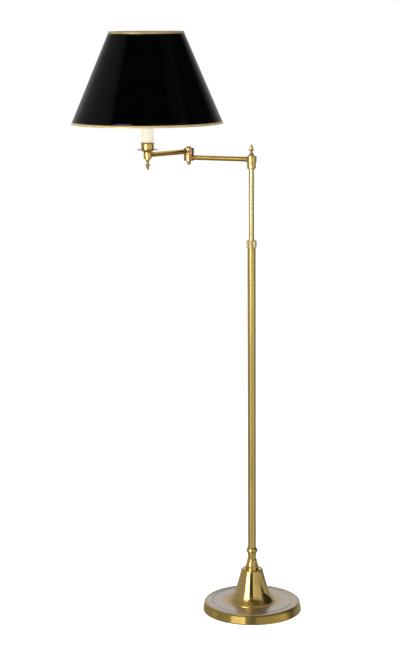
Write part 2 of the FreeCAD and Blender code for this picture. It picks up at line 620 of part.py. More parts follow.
# turn knob: its own Z lies along +X of the lamp, on the socket's right side
SSR = half("switch_shaft_dia")
SKR = half("switch_knob_dia")
knob = lathe("switch_knob", [
    (0, 7.5), (SSR, 7.5), (SSR, 18.4), (SKR - 0.6, 18.4), (SKR, 19.2), (SKR, 28.0),
    (SKR - 0.8, 29.0), (0, 29.0)], "head")
for side, name in ((1.0, "right"), (-1.0, "left")):
    mill(knob, "switch_knob_%s_flat" % name, "XZ_Plane",
         [(2.4 * side, 21.5), (9.0 * side, 21.5), (9.0 * side, 32.0), (2.4 * side, 32.0)],
         20.0, False, Dim({}, 10.0))
knob.Placement = Placement(Vector(HEAD_XY[0], HEAD_XY[1], NUMBER["switch_level"]),
                           Rotation(Vector(0, 1, 0), 90))
knob.setExpression("Placement.Base.z", "Sizes.switch_level")

# ------------------------------------------------------------ shade frame
FL = cell("fitter_level")
FT = cell("fitter_thick")
lathe("fitter_seat_ring", [(SOR + 0.03, FL - 3.0), (20.0, FL - 3.0), (20.0, FL),
                           (SOR + 0.03, FL)], "head")
lathe("fitter_hub_ring", [(SOR + 0.1, FL), (half("fitter_dia"), FL),
                          (half("fitter_dia"), FL + FT), (SOR + 0.1, FL + FT)], "head")
lathe("shade_ring_nut", [
    (SOR + 0.03, FL + FT), (20.4, FL + FT), (20.4, FL + FT + 3.4), (19.8, FL + FT + 4.0),
    (SOR + 0.03, FL + FT + 4.0)], "head")

SLOW = cell("shade_low")
SHIGH = cell("shade_high")
_taper = ((NUMBER["shade_low_dia"] - NUMBER["shade_high_dia"]) / 2.0
          / (NUMBER["shade_high"] - NUMBER["shade_low"]))


def skin(height, depth):
    """Radius on the shade's cone at a height above its lower edge."""
    return half("shade_low_dia") - height * _taper - depth


SPAN = NUMBER["shade_high"] - NUMBER["shade_low"]
T = cell("trim_thick")
C = cell("card_thick")
W = NUMBER["trim_width"]
lathe("shade_card", [
    (skin(0.4, T + C + 0.05), SLOW + 0.4), (skin(0.4, T + 0.05), SLOW + 0.4),
    (skin(SPAN - 0.4, T + 0.05), SHIGH - 0.4), (skin(SPAN - 0.4, T + C + 0.05), SHIGH - 0.4)],
    "head")
lathe("shade_trim_bottom", [
    (skin(0.0, T * 2 + C + 0.1), SLOW), (skin(0.0, 0.0), SLOW), (skin(W, 0.0), SLOW + W),
    (skin(W, T), SLOW + W), (skin(0.3, T), SLOW + 0.3), (skin(0.3, T + C + 0.1), SLOW + 0.3),
    (skin(W, T + C + 0.1), SLOW + W), (skin(W, T * 2 + C + 0.1), SLOW + W)], "head")
lathe("shade_trim_top", [
    (skin(SPAN, T * 2 + C + 0.1), SHIGH), (skin(SPAN - W, T * 2 + C + 0.1), SHIGH - W),
    (skin(SPAN - W, T + C + 0.1), SHIGH - W), (skin(SPAN - 0.3, T + C + 0.1), SHIGH - 0.3),
    (skin(SPAN - 0.3, T), SHIGH - 0.3), (skin(SPAN - W, T), SHIGH - W),
    (skin(SPAN - W, 0.0), SHIGH - W), (skin(SPAN, 0.0), SHIGH)], "head")


def wire_ring(label, height, level):
    ring = doc.addObject("Part::Torus", label)
    ring.Label = label
    ring.setExpression("Radius1", (skin(height, T * 2 + C + 0.35) - half("ring_wire_dia")).text)
    ring.setExpression("Radius2", half("ring_wire_dia").text)
    stand(ring, "head")
    ring.Placement.Base.z = value(level)
    ring.setExpression("Placement.Base.z", level.text)
    return ring


wire_ring("shade_top_ring", SPAN - 2.9, SHIGH - 2.9)
wire_ring("shade_bottom_ring", 2.9, SLOW + 2.9)

# three wires from the fitter's hub ring up to the top ring
foot = Vector(23.0, 0, NUMBER["fitter_level"] + NUMBER["fitter_thick"] + 0.6)
tip = Vector(skin(SPAN - 5.9, T * 2 + C + 0.2).value - 3.9, 0, NUMBER["shade_high"] - 5.9)
lean = tip - foot
spokes = []
for i, turn_deg in enumerate((60.0, 180.0, 300.0)):
    wire = doc.addObject("Part::Cylinder", "fitter_spoke_%d" % (i + 1))
    wire.setExpression("Radius", half("wire_dia").text)
    wire.Height = lean.Length
    turn_z = Rotation(Vector(0, 0, 1), turn_deg)
    wire.Placement = Placement(turn_z.multVec(foot),
                               turn_z.multiply(Rotation(Vector(0, 0, 1), lean)))
    spokes.append(wire)
spider = doc.addObject("Part::Compound", "fitter_spokes")
spider.Label = "fitter_spokes"
spider.Links = spokes
stand(spider, "head")

# ------------------------------------------------------------------ bulb
BR = half("bulb_dia")
BC = cell("bulb_centre")
BB = half("bulb_base_dia")
lathe("bulb_base", [
    (0, SSL + 2.2), (4.6, SSL + 2.2), (4.6, SSL + 3.8), (9.5, SSL + 6.4), (BB, SSL + 8.0),
    (BB, SSL + 25.4), (BB + 0.4, SSL + 28.4), (BB - 0.3, SSL + 28.4), (BB - 0.3, SSL + 14.6),
    (0, SSL + 14.6)], "head")
lathe("bulb_glass", [
    (11.7, SSL + 15.0), (12.5, SSL + 15.0), (12.5, SSL + 29.6, -60.0),
    (20.5, BC - 21.9, BR), (BR, BC, BR), (0, BC + BR), (0, BC + BR - 0.8, -(BR - 0.8)),
    (BR - 0.8, BC, -(BR - 0.8)), (19.95, BC - 21.32, 61.0), (11.7, SSL + 29.8)], "head")

# ---------------------------------------------------------------- checks
doc.recompute()
bad = [o.Name for o in doc.Objects if "Invalid" in o.State or "Error" in o.State]
if bad:
    raise SystemExit("failed objects: " + ", ".join(bad))
for o in doc.Objects:
    if o.TypeId == "PartDesign::Pocket" and o.BaseFeature is not None:
        removed = o.BaseFeature.Shape.Volume - o.Shape.Volume
        if removed < 0.5:
            raise SystemExit("%s removes nothing" % o.Name)
for o in NODES:
    if o.Shape.isNull() or not o.Shape.isValid() or o.Shape.Volume <= 0:
        raise SystemExit("%s has no sound shape" % o.Label)
labels = [o.Label for o in NODES]
if len(set(labels)) != len(labels):
    raise SystemExit("two sub-parts share a label")
for o in NODES:
    box = o.Shape.BoundBox
    print("%-24s solids %2d  %12.1f mm3  z %8.2f .. %8.2f" % (
        o.Label, len(o.Shape.Solids), o.Shape.Volume, box.ZMin, box.ZMax))
    o.Shape.exportStep("parts/%s.step" % o.Label)
print(len(NODES), "sub-parts")
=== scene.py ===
import bpy
import bmesh
import math
from mathutils import Matrix, Vector


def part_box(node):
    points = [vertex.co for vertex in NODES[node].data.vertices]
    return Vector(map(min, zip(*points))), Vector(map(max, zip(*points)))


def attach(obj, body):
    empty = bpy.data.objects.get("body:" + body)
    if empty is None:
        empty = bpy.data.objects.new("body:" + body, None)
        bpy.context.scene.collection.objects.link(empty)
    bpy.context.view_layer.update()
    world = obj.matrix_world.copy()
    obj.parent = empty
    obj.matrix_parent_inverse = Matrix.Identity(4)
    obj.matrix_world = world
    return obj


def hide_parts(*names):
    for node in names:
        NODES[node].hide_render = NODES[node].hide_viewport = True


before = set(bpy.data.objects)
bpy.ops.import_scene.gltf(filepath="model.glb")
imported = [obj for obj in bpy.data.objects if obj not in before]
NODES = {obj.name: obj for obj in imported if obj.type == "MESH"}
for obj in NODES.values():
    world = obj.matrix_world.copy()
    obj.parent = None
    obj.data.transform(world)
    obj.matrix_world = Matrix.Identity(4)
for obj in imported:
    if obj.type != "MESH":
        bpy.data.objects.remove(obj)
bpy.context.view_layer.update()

scene = bpy.context.scene
scene.view_settings.view_transform = "Standard"
scene.view_settings.look = "None"
scene.view_settings.exposure = 0.0
scene.view_settings.gamma = 1.0

# stations of the lamp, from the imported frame
def centre_xy(node):
    lo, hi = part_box(node)
    return ((lo[0] + hi[0]) / 2.0, (lo[1] + hi[1]) / 2.0)

POLE = (0.0, 0.0)
ELBOW = centre_xy("elbow_cap")
HEAD = centre_xy("candle_sleeve")


# ------------------------------------------------------------------ camera
def make_camera():
    pitch = math.radians(10.2589)
    roll = math.radians(-0.3923)
    right = Vector((1, 0, 0))
    ahead = Vector((0, math.cos(pitch), -math.sin(pitch)))
    up = Vector((0, math.sin(pitch), math.cos(pitch)))
    r2 = right * math.cos(roll) + up * math.sin(roll)
    u2 = up * math.cos(roll) - right * math.sin(roll)
    back = -ahead
    data = bpy.data.cameras.new("camera")
    data.sensor_width = 36.0
    data.sensor_fit = "AUTO"
    data.lens = 1731.26 * 36.0 / 650.0
    data.clip_start = 0.05
    data.clip_end = 60.0
    cam = bpy.data.objects.new("camera", data)
    cam.matrix_world = Matrix((
        (r2.x, u2.x, back.x, -0.13055),
        (r2.y, u2.y, back.y, -4.3042),
        (r2.z, u2.z, back.z, 1.5304),
        (0, 0, 0, 1)))
    scene.collection.objects.link(cam)
    scene.camera = cam


make_camera()


# ------------------------------------------------------------- node helpers
class Tree:
    """A short way of writing shader nodes."""

    def __init__(self, tree):
        self.t = tree
        self.x = 0

    def new(self, kind, **settings):
        n = self.t.nodes.new(kind)
        self.x += 60
        n.location = (self.x, -self.x * 0.3)
        for k, v in settings.items():
            setattr(n, k, v)
        return n

    def link(self, a, b):
        self.t.links.new(a, b)

    def put(self, socket, v):
        if isinstance(v, bpy.types.NodeSocket):
            self.link(v, socket)
        else:
            socket.default_value = v

    def math(self, op, a, b=None, c=None, clamp=False):
        n = self.new("ShaderNodeMath", operation=op, use_clamp=clamp)
        self.put(n.inputs[0], a)
        if b is not None:
            self.put(n.inputs[1], b)
        if c is not None:
            self.put(n.inputs[2], c)
        return n.outputs[0]

    def ramp01(self, v, a, b, lo=0.0, hi=1.0):
        n = self.new("ShaderNodeMapRange", interpolation_type="SMOOTHSTEP")
        self.put(n.inputs["Value"], v)
        n.inputs["From Min"].default_value = a
        n.inputs["From Max"].default_value = b
        n.inputs["To Min"].default_value = lo
        n.inputs["To Max"].default_value = hi
        return n.outputs["Result"]

    def mix(self, f, a, b, blend="MIX"):
        n = self.new("ShaderNodeMix", data_type="RGBA", blend_type=blend)
        self.put(n.inputs[0], f)
        self.put(n.inputs[6], a if isinstance(a, bpy.types.NodeSocket) else tuple(a) + (1,) * (4 - len(a)))
        self.put(n.inputs[7], b if isinstance(b, bpy.types.NodeSocket) else tuple(b) + (1,) * (4 - len(b)))
        return n.outputs[2]

    def noise(self, vec, scale, detail=3.0, rough=0.5, dims="3D"):
        n = self.new("ShaderNodeTexNoise", noise_dimensions=dims)
        if dims == "1D":
            self.put(n.inputs["W"], vec)
        else:
            self.put(n.inputs["Vector"], vec)
        n.inputs["Scale"].default_value = scale
        n.inputs["Detail"].default_value = detail
        n.inputs["Roughness"].default_value = rough
        return n.outputs[0]

    def coords(self, about=(0, 0, 0), scale=(1, 1, 1)):
        t = self.new("ShaderNodeTexCoord")
        m = self.new("ShaderNodeMapping")
        m.inputs["Location"].default_value = tuple(-a * s for a, s in zip(about, scale))
        m.inputs["Scale"].default_value = scale
        self.link(t.outputs["Object"], m.inputs["Vector"])
        return m.outputs[0]

    def split(self, vec):
        n = self.new("ShaderNodeSeparateXYZ")
        self.link(vec, n.inputs[0])
        return n.outputs

    def join(self, x, y, z):
        n = self.new("ShaderNodeCombineXYZ")
        for s, v in zip(n.inputs, (x, y, z)):
            self.put(s, v)
        return n.outputs[0]

    def bump(self, height, strength, distance, normal=None):
        n = self.new("ShaderNodeBump")
        self.put(n.inputs["Height"], height)
        n.inputs["Strength"].default_value = strength
        n.inputs["Distance"].default_value = distance
        if normal is not None:
            self.link(normal, n.inputs["Normal"])
        return n.outputs[0]


def material(name):
    m = bpy.data.materials.new(name)
    m.use_nodes = True
    t = Tree(m.node_tree)
    shader = m.node_tree.nodes["Principled BSDF"]
    return m, t, shader


# -------------------------------------------------------------- world light
def make_world():
    world = bpy.data.worlds.new("studio")
    world.use_nodes = True
    scene.world = world
    t = Tree(world.node_tree)
    background = world.node_tree.nodes["Background"]
    out = world.node_tree.nodes["World Output"]
    tc = t.new("ShaderNodeTexCoord")
    x, y, z = t.split(tc.outputs["Generated"])
    az = t.math("ARCTAN2", x, t.math("MULTIPLY", y, -1.0))
    el = t.math("ARCSINE", z)

    def around(stops):
        """Brightness by azimuth, from stops of (degrees, brightness)."""
        n = t.new("ShaderNodeValToRGB")
        t.link(t.math("ADD", t.math("DIVIDE", az, 2.0 * math.pi), 0.5), n.inputs[0])
        ramp = n.color_ramp
        ramp.interpolation = "LINEAR"
        while len(ramp.elements) > 1:
            ramp.elements.remove(ramp.elements[-1])
        for i, (deg, level) in enumerate(stops):
            e = ramp.elements[0] if i == 0 else ramp.elements.new((deg + 180.0) / 360.0)
            e.position = (deg + 180.0) / 360.0
            e.color = (level / 6.0, level / 6.0, level / 6.0, 1.0)
        return t.math("MULTIPLY", n.outputs[0], 6.0)

    def above(deg, soft):
        return t.ramp01(el, math.radians(deg - soft), math.radians(deg + soft))

    # a pale room behind the lamp, dark towards the camera; a tall soft box to
    # the left of the camera and a dimmer one to its right, both fading towards
    # the ground; a dark ceiling
    ground = around(((-180, 0.34), (-64, 0.26), (-58, 0.50), (-22, 0.55), (-10, 0.46),
                     (4, 0.28), (18, 0.27), (26, 0.58), (60, 0.58), (68, 0.22), (108, 0.22),
                     (120, 0.36), (180, 0.38)))
    low = around(((-180, 0.34), (-62, 0.33), (-52, 0.62), (-30, 0.98), (-8, 0.94),
                  (2, 0.40), (20, 0.34), (30, 1.05), (54, 1.10), (64, 0.16), (106, 0.14),
                  (120, 0.32), (180, 0.38)))
    mid = around(((-180, 0.60), (-80, 0.44), (-62, 0.46), (-52, 1.05), (-14, 1.12), (2, 0.60),
                  (16, 0.36), (70, 0.32), (106, 0.16), (130, 0.30), (180, 0.60)))
    level = around(((-180, 0.34), (-80, 0.30), (-58, 0.42), (-50, 0.50), (-46, 8.0),
                    (-12, 8.0), (-8, 0.14), (5, 0.16), (12, 0.85), (66, 0.72), (82, 0.60),
                    (97, 0.60), (103, 0.02), (144, 0.02), (158, 0.28), (180, 0.34)))
    rim = around(((-180, 0.40), (-58, 0.36), (-53, 0.46), (-50, 1.05), (-30, 1.20), (-20, 1.45),
                  (-15, 0.32), (3, 0.18), (12, 0.42), (60, 0.48), (100, 0.40), (180, 0.42)))
    raised = around(((-180, 0.54), (-152, 0.50), (-130, 0.32), (-62, 0.34), (-52, 0.46),
                     (-48.5, 6.0), (-25, 6.0), (-21.5, 0.06), (3, 0.04), (8, 0.78), (24, 0.60),
                     (66, 0.48), (73, 0.03), (126, 0.015), (140, 0.20), (154, 0.46),
                     (180, 0.54)))
    ceiling = around(((-180, 0.45), (-120, 0.26), (-66, 0.22), (-62.5, 0.005), (44, 0.005),
                      (48, 0.09), (84, 0.11), (90, 0.01), (125, 0.06), (180, 0.45)))
    crown = around(((-180, 0.40), (-90, 0.32), (-50, 0.50), (-20, 0.30), (20, 0.16),
                    (60, 0.22), (90, 0.12), (130, 0.20), (180, 0.40)))

    def blend(f, u, v):
        return t.math("ADD", t.math("MULTIPLY", u, t.math("SUBTRACT", 1.0, f)),
                      t.math("MULTIPLY", v, f))

    total = blend(above(-11.0, 1.8), ground, low)
    total = blend(above(-7.6, 0.1), total, mid)
    total = blend(above(-5.4, 0.2), total, level)
    total = blend(above(-3.0, 0.5), total, rim)
    total = blend(above(5.8, 1.6), total, raised)
    total = blend(above(35.0, 2.0), total, ceiling)
    total = blend(above(47.5, 3.0), total, crown)
    background.inputs["Color"].default_value = (1, 1, 1, 1)
    t.link(total, background.inputs["Strength"])
    # the camera itself sees plain white
    plain = t.new("ShaderNodeBackground")
    plain.inputs["Color"].default_value = (1, 1, 1, 1)
    plain.inputs["Strength"].default_value = 1.0
    path = t.new("ShaderNodeLightPath")
    mixer = t.new("ShaderNodeMixShader")
    t.link(path.outputs["Is Camera Ray"], mixer.inputs[0])
    t.link(background.outputs[0], mixer.inputs[1])
    t.link(plain.outputs[0], mixer.inputs[2])
    t.link(mixer.outputs[0], out.inputs["Surface"])
    world.cycles.sampling_method = "MANUAL"
    world.cycles.sample_map_resolution = 1024


make_world()


def make_floor():
    mesh = bpy.data.meshes.new("floor")
    s = 14.0
    mesh.from_pydata([(-s, -s, 0), (s, -s, 0), (s, s, 0), (-s, s, 0)], [], [(0, 1, 2, 3)])
    ob = bpy.data.objects.new("floor", mesh)
    scene.collection.objects.link(ob)
    m, t, bsdf = material("floor_white")
    bsdf.inputs["Base Color"].default_value = (0.86, 0.86, 0.86, 1)
    bsdf.inputs["Roughness"].default_value = 0.9
    bsdf.inputs["Specular IOR Level"].default_value = 0.0
    bsdf.inputs["Emission Color"].default_value = (1, 1, 1, 1)
    bsdf.inputs["Emission Strength"].default_value = 0.80
    mesh.materials.append(m)
    ob.visible_glossy = False


make_floor()


def area_light(name, place, aim, size, power, glossy=False):
    data = bpy.data.lights.new(name, "AREA")
    data.shape = "RECTANGLE"
    data.size, data.size_y = size
    data.energy = power
    ob = bpy.data.objects.new(name, data)
    ob.location = place
    ob.rotation_euler = (Vector(aim) - Vector(place)).to_track_quat("-Z", "Y").to_euler()
    ob.visible_camera = False
    ob.visible_glossy = glossy
    scene.collection.objects.link(ob)


area_light("overhead_soft", (-0.3, -0.6, 3.4), (-0.15, 0, 0.6), (3.0, 3.0), 42.0)
area_light("left_soft", (-2.6, -1.8, 1.6), (-0.1, 0, 0.9), (1.6, 2.4), 26.0)
area_light("right_soft", (2.4, -2.0, 1.4), (-0.1, 0, 0.9), (1.6, 2.4), 14.0)


# --------------------------------------------------------------- materials
GOLD = (0.82, 0.565, 0.145)
OLIVE = (0.58, 0.38, 0.065)
BROWN = (0.34, 0.20, 0.07)
COPPER = (0.52, 0.245, 0.105)
# dark red for spots of painted shade, where parts meet and along dark edges
PAINTED_SHADE_RED = (0.10, 0.04, 0.015)


def radius(t, p):
    x, y, z = t.split(p)
    return t.math("SQRT", t.math("ADD", t.math("MULTIPLY", x, x), t.math("MULTIPLY", y, y))), z


def tint_and_painted_shade(t, col, places):
    """Tints the colour towards copper red around given points, or towards a given tint; spots given the dark red are
    painted shade.
    """
    p = t.coords()
    for place, reach, amount, *tint in places:
        sub = t.new("ShaderNodeVectorMath", operation="DISTANCE")
        t.link(p, sub.inputs[0])
        sub.inputs[1].default_value = place
        ragged = t.math("ADD", sub.outputs["Value"],
                        t.math("MULTIPLY", t.noise(p, 150.0, 3.0, 0.6), reach * 0.5))
        near = t.ramp01(ragged, reach * 0.7, reach * 1.25, 1.0, 0.0)
        col = t.mix(t.math("MULTIPLY", near, amount), col, tint[0] if tint else COPPER)
    return col


def lacquered(bsdf, weight=0.75, rough=0.06):
    """The thin clear lacquer over the brass, which keeps highlights white."""
    bsdf.inputs["Coat Weight"].default_value = weight
    bsdf.inputs["Coat Roughness"].default_value = rough
    bsdf.inputs["Coat IOR"].default_value = 1.7


def turned_brass(name, about, rough=0.10, tarnish=0.30, ring_depth=0.00002,
                 ring_scale=900.0, base=GOLD, aged=OLIVE, dark=BROWN, blotch=38.0, tints_and_shade_at=(),
                 foot=None, coat=0.75):
    """Lathe-turned brass: fine rings about the piece's axis, patches of tarnish."""
    m, t, bsdf = material(name)
    p = t.coords((about[0], about[1], 0))
    r, z = radius(t, p)
    # broad patches of tarnish
    patch = t.ramp01(t.noise(p, blotch, 5.0, 0.55), 0.40, 0.68)
    spots = t.ramp01(t.noise(p, 420.0, 3.0, 0.6), 0.60, 0.74)
    col = t.mix(t.math("MULTIPLY", patch, tarnish), base, aged)
    col = t.mix(t.math("MULTIPLY", spots, tarnish * 0.5), col, dark)
    # rings left by the lathe: they follow radius and height, never the angle
    along = t.math("ADD", r, t.math("MULTIPLY", z, 0.8))
    rings = t.noise(along, ring_scale, 2.0, 0.7, "1D")
    col = t.mix(t.math("MULTIPLY", t.ramp01(rings, 0.35, 0.75), 0.12), col, dark)
    col = tint_and_painted_shade(t, col, tints_and_shade_at)
    t.link(col, bsdf.inputs["Base Color"])
    bsdf.inputs["Metallic"].default_value = 1.0
    smear = t.noise(p, 90.0, 4.0, 0.6)
    rr = t.ramp01(smear, 0.30, 0.72, rough * 0.75, rough * 1.6)
    if foot:
        # hand polishing doesn't reach into the sweep at the foot
        rr = t.math("MAXIMUM", rr, t.ramp01(z, foot[0], foot[1], foot[2], rough))
    t.link(rr, bsdf.inputs["Roughness"])
    b = t.bump(rings, 0.30, ring_depth)
    b = t.bump(t.noise(p, 900.0, 2.0, 0.5), 0.08, 0.00002, b)
    t.link(b, bsdf.inputs["Normal"])
    lacquered(bsdf, coat)
    return m


def drawn_tube(name, rough=0.19, tarnish=0.30, base=GOLD, aged=OLIVE, tints_and_shade_at=(),
               grain=(1.0, 1.0, 0.06), coat=0.75):
    """Drawn tube, polished by hand along its length; a copper-red tint near given points at its brazed ends, and
    painted shade where the dark red is given.
    """
    m, t, bsdf = material(name)
    p = t.coords()
    streak = t.coords(scale=grain)
    broad = tuple(max(c, 0.35) for c in grain)
    patch = t.ramp01(t.noise(t.coords(scale=broad), 26.0, 5.0, 0.6), 0.42, 0.66)
    fine = t.ramp01(t.noise(streak, 260.0, 4.0, 0.65), 0.45, 0.72)
    col = t.mix(t.math("MULTIPLY", patch, tarnish), base, aged)
    col = t.mix(t.math("MULTIPLY", fine, 0.10), col, BROWN)
    spots = t.ramp01(t.noise(p, 520.0, 2.0, 0.5), 0.62, 0.74)
    col = t.mix(t.math("MULTIPLY", spots, 0.16), col, BROWN)
    col = tint_and_painted_shade(t, col, tints_and_shade_at)
    t.link(col, bsdf.inputs["Base Color"])
    bsdf.inputs["Metallic"].default_value = 1.0
    t.link(t.ramp01(t.noise(streak, 120.0, 3.0, 0.6), 0.3, 0.72, rough * 0.8, rough * 1.4),
           bsdf.inputs["Roughness"])
    t.link(t.bump(t.noise(streak, 300.0, 2.0, 0.5), 0.05, 0.00001), bsdf.inputs["Normal"])
    lacquered(bsdf, coat)
    return m


def disc_brass():
    """The base: a polished top with spun rings, a satin rim."""
    m, t, bsdf = material("brass_base_disc")
    p = t.coords()
    r, z = radius(t, p)
    top = t.ramp01(z, 0.0226, 0.0238)
    ring_a = t.noise(r, 150.0, 2.0, 0.6, "1D")
    ring_b = t.noise(r, 800.0, 2.0, 0.6, "1D")
    ring_c = t.noise(t.math("ADD", r, 3.0), 110.0, 2.0, 0.6, "1D")
    patch = t.ramp01(t.noise(p, 20.0, 4.0, 0.55), 0.38, 0.68)
    side_col = t.mix(t.math("MULTIPLY", patch, 0.35), (0.62, 0.43, 0.10), (0.50, 0.315, 0.06))
    # painted reflection: the top's pale, nearly white colour and the bluish patches in it stand in for pale
    # surroundings seen in the polished top; the rings in it follow the lathe
    pale = t.mix(t.ramp01(ring_a, 0.38, 0.62), (0.92, 0.90, 0.87), (0.70, 0.57, 0.50))
    pale = t.mix(t.math("MULTIPLY", t.ramp01(ring_c, 0.50, 0.64), 0.6), pale, (0.86, 0.66, 0.44))
    pale = t.mix(t.math("MULTIPLY", patch, 0.45), pale, (0.78, 0.83, 0.80))
    pale = t.mix(t.math("MULTIPLY", t.ramp01(ring_b, 0.5, 0.75), 0.35), pale, (0.60, 0.48, 0.40))
    # painted reflection: the pale top turns warm close to the bell, where the bell reflects in it, and on the rounded
    # edge
    warm_reflection = t.math("MAXIMUM", t.ramp01(r, 0.064, 0.092, 1.0, 0.0), t.ramp01(r, 0.111, 0.120))
    pale = t.mix(t.math("MULTIPLY", warm_reflection, 0.82), pale, (0.78, 0.565, 0.22))
    # three brown lines, placed to match; what they are on the lamp isn't known
    for groove, width in ((0.0985, 0.0011), (0.1068, 0.0008), (0.0800, 0.0007)):
        off = t.math("ABSOLUTE", t.math("SUBTRACT", r, groove))
        pale = t.mix(t.ramp01(off, width * 0.4, width * 1.6, 0.55, 0.0), pale,
                     (0.42, 0.28, 0.14))
    # painted reflection: the top is paler and warmer towards one side
    split = t.new("ShaderNodeSeparateXYZ")
    t.link(p, split.inputs[0])
    side_reflection = t.math("ADD", split.outputs["X"], t.math("MULTIPLY", split.outputs["Y"], 0.8))
    side_reflection = t.math("ADD", side_reflection, t.math("MULTIPLY", t.noise(p, 14.0, 3.0, 0.5), 0.08))
    pale = t.mix(t.ramp01(side_reflection, 0.02, 0.13, 0.0, 0.50), pale, (0.80, 0.64, 0.44))
    col = t.mix(top, side_col, pale)
    t.link(col, bsdf.inputs["Base Color"])
    bsdf.inputs["Metallic"].default_value = 1.0
    rough_top = t.ramp01(ring_b, 0.3, 0.7, 0.17, 0.25)
    rough_side = t.ramp01(patch, 0.0, 1.0, 0.07, 0.11)
    mixr = t.new("ShaderNodeMix", data_type="FLOAT")
    t.link(top, mixr.inputs[0])
    t.link(rough_side, mixr.inputs[2])
    t.link(rough_top, mixr.inputs[3])
    t.link(mixr.outputs[0], bsdf.inputs["Roughness"])
    # the lathe's grooves run round the axis, so reflections smear outwards
    around = t.new("ShaderNodeTangent", direction_type="RADIAL", axis="Z")
    t.link(around.outputs[0], bsdf.inputs["Tangent"])
    t.link(t.math("MULTIPLY", top, 0.75), bsdf.inputs["Anisotropic"])
    bsdf.inputs["Anisotropic Rotation"].default_value = 0.25
    b = t.bump(t.math("MULTIPLY", ring_a, top), 0.5, 0.00010)
    b = t.bump(t.math("MULTIPLY", ring_b, top), 0.20, 0.00003, b)
    t.link(b, bsdf.inputs["Normal"])
    lacquered(bsdf, 0.25, 0.22)
    return m


def plain(name, colour, rough, metallic=0.0, speck=0.12, scale=160.0, bump=0.00003,
          coat=0.0, spec=0.5):
    m, t, bsdf = material(name)
    p = t.coords()
    n = t.noise(p, scale, 4.0, 0.55)
    dark = tuple(c * (1.0 - speck * 2) for c in colour)
    t.link(t.mix(t.ramp01(n, 0.30, 0.72), colour, dark), bsdf.inputs["Base Color"])
    bsdf.inputs["Metallic"].default_value = metallic
    t.link(t.ramp01(t.noise(p, scale * 0.4, 3.0, 0.5), 0.3, 0.7, rough * 0.85, rough * 1.2),
           bsdf.inputs["Roughness"])
    bsdf.inputs["Coat Weight"].default_value = coat
    bsdf.inputs["Specular IOR Level"].default_value = spec
    t.link(t.bump(t.noise(p, scale * 6, 3.0, 0.6), 0.3, bump), bsdf.inputs["Normal"])
    return m


M = {}
M["pole"] = drawn_tube("brass_pole", rough=0.17, base=(0.81, 0.63, 0.19),
                       aged=(0.62, 0.49, 0.11), coat=0.5)
M["lock_nut"] = turned_brass("brass_lock_nut", POLE, rough=0.20, tarnish=0.25,
                             base=(0.86, 0.72, 0.36), aged=(0.68, 0.54, 0.24), coat=0.5)
EX, EY = ELBOW
HX, HY = HEAD
FLAT = (0.06, 0.06, 1.0)
# painted shade: the arms get a darker brass than the pole; the outer arm's base, lighter than the inner's, is painted
# light
ARM = (0.53, 0.34, 0.075)
ARM_AGED = (0.44, 0.26, 0.045)
M["upper_pole"] = drawn_tube("brass_upper_pole", rough=0.17, base=(0.86, 0.70, 0.33),
                             aged=(0.72, 0.56, 0.22), coat=0.5)
M["inner_arm"] = drawn_tube("brass_inner_arm", rough=0.32, base=ARM, grain=FLAT, coat=0.0, aged=ARM_AGED, tints_and_shade_at=(
    ((0, 0, 1.1684), 0.026, 0.7), ((EX, EY, 1.1684), 0.028, 0.8)))
# a dark red spot of painted shade where the outer arm meets the elbow knuckle; a copper-red tint near the head
M["outer_arm"] = drawn_tube("brass_outer_arm", base=(0.68, 0.445, 0.10), grain=FLAT, coat=0.0, aged=ARM_AGED, tints_and_shade_at=(
    ((EX, EY, 1.1836), 0.020, 0.95, PAINTED_SHADE_RED), ((HX, HY, 1.1836), 0.024, 0.5)))
M["pole_turned"] = turned_brass("brass_turned_pole", POLE, tints_and_shade_at=(
    ((0, 0, 1.1815), 0.0105, 1.0),))
M["bell"] = turned_brass("brass_bell", POLE, rough=0.09, tarnish=0.45, ring_scale=420.0,
                         ring_depth=0.00003, foot=(0.034, 0.060, 0.24))
# a copper-red tint on the lower knuckle; the dark red spots are painted shade, where the outer arm meets the upper
# knuckle, down the knuckles' right edge, and round the cap
M["elbow"] = turned_brass(
    "brass_elbow", ELBOW, tarnish=0.5, base=(0.78, 0.53, 0.21), aged=(0.52, 0.30, 0.10),
    coat=0.0, tints_and_shade_at=(((EX + 0.0095, EY - 0.0090, 1.1665), 0.0125, 0.85),
                      ((EX - 0.0036, EY - 0.0123, 1.1836), 0.0058, 0.97, PAINTED_SHADE_RED),
                      ((EX + 0.0104, EY - 0.0075, 1.1890), 0.0046, 0.95, PAINTED_SHADE_RED),
                      ((EX + 0.0104, EY - 0.0075, 1.1825), 0.0046, 0.95, PAINTED_SHADE_RED),
                      ((EX + 0.0098, EY - 0.0082, 1.1768), 0.0046, 0.95, PAINTED_SHADE_RED),
                      ((EX - 0.0010, EY - 0.0056, 1.1950), 0.0056, 0.85, PAINTED_SHADE_RED)))
M["head"] = turned_brass("brass_head", HEAD, rough=0.09, base=(0.80, 0.56, 0.135),
                         aged=(0.58, 0.38, 0.07), coat=0.45, tints_and_shade_at=(
                             ((HX, HY, 1.1655), 0.0062, 0.75),))
M["pan"] = turned_brass("brass_drip_pan", HEAD, rough=0.18, tarnish=0.5, base=(0.62, 0.41, 0.15),
                        aged=(0.44, 0.26, 0.09), coat=0.0)
M["disc"] = disc_brass()
M["plain_brass"] = plain("brass_machined", (0.70, 0.55, 0.27), 0.28, 1.0)
M["socket"] = plain("brass_socket", (0.80, 0.66, 0.36), 0.20, 1.0)
M["steel"] = plain("zinc_steel", (0.62, 0.62, 0.60), 0.35, 1.0)
M["iron"] = plain("cast_iron_rough", (0.10, 0.095, 0.09), 0.65, 0.6, 0.2, 300.0, 0.0003)
M["felt"] = plain("green_felt", (0.035, 0.075, 0.045), 0.95, 0.0, 0.25, 900.0, 0.0004)
M["black_plastic"] = plain("black_phenolic", (0.018, 0.018, 0.018), 0.32, 0.0, 0.1)
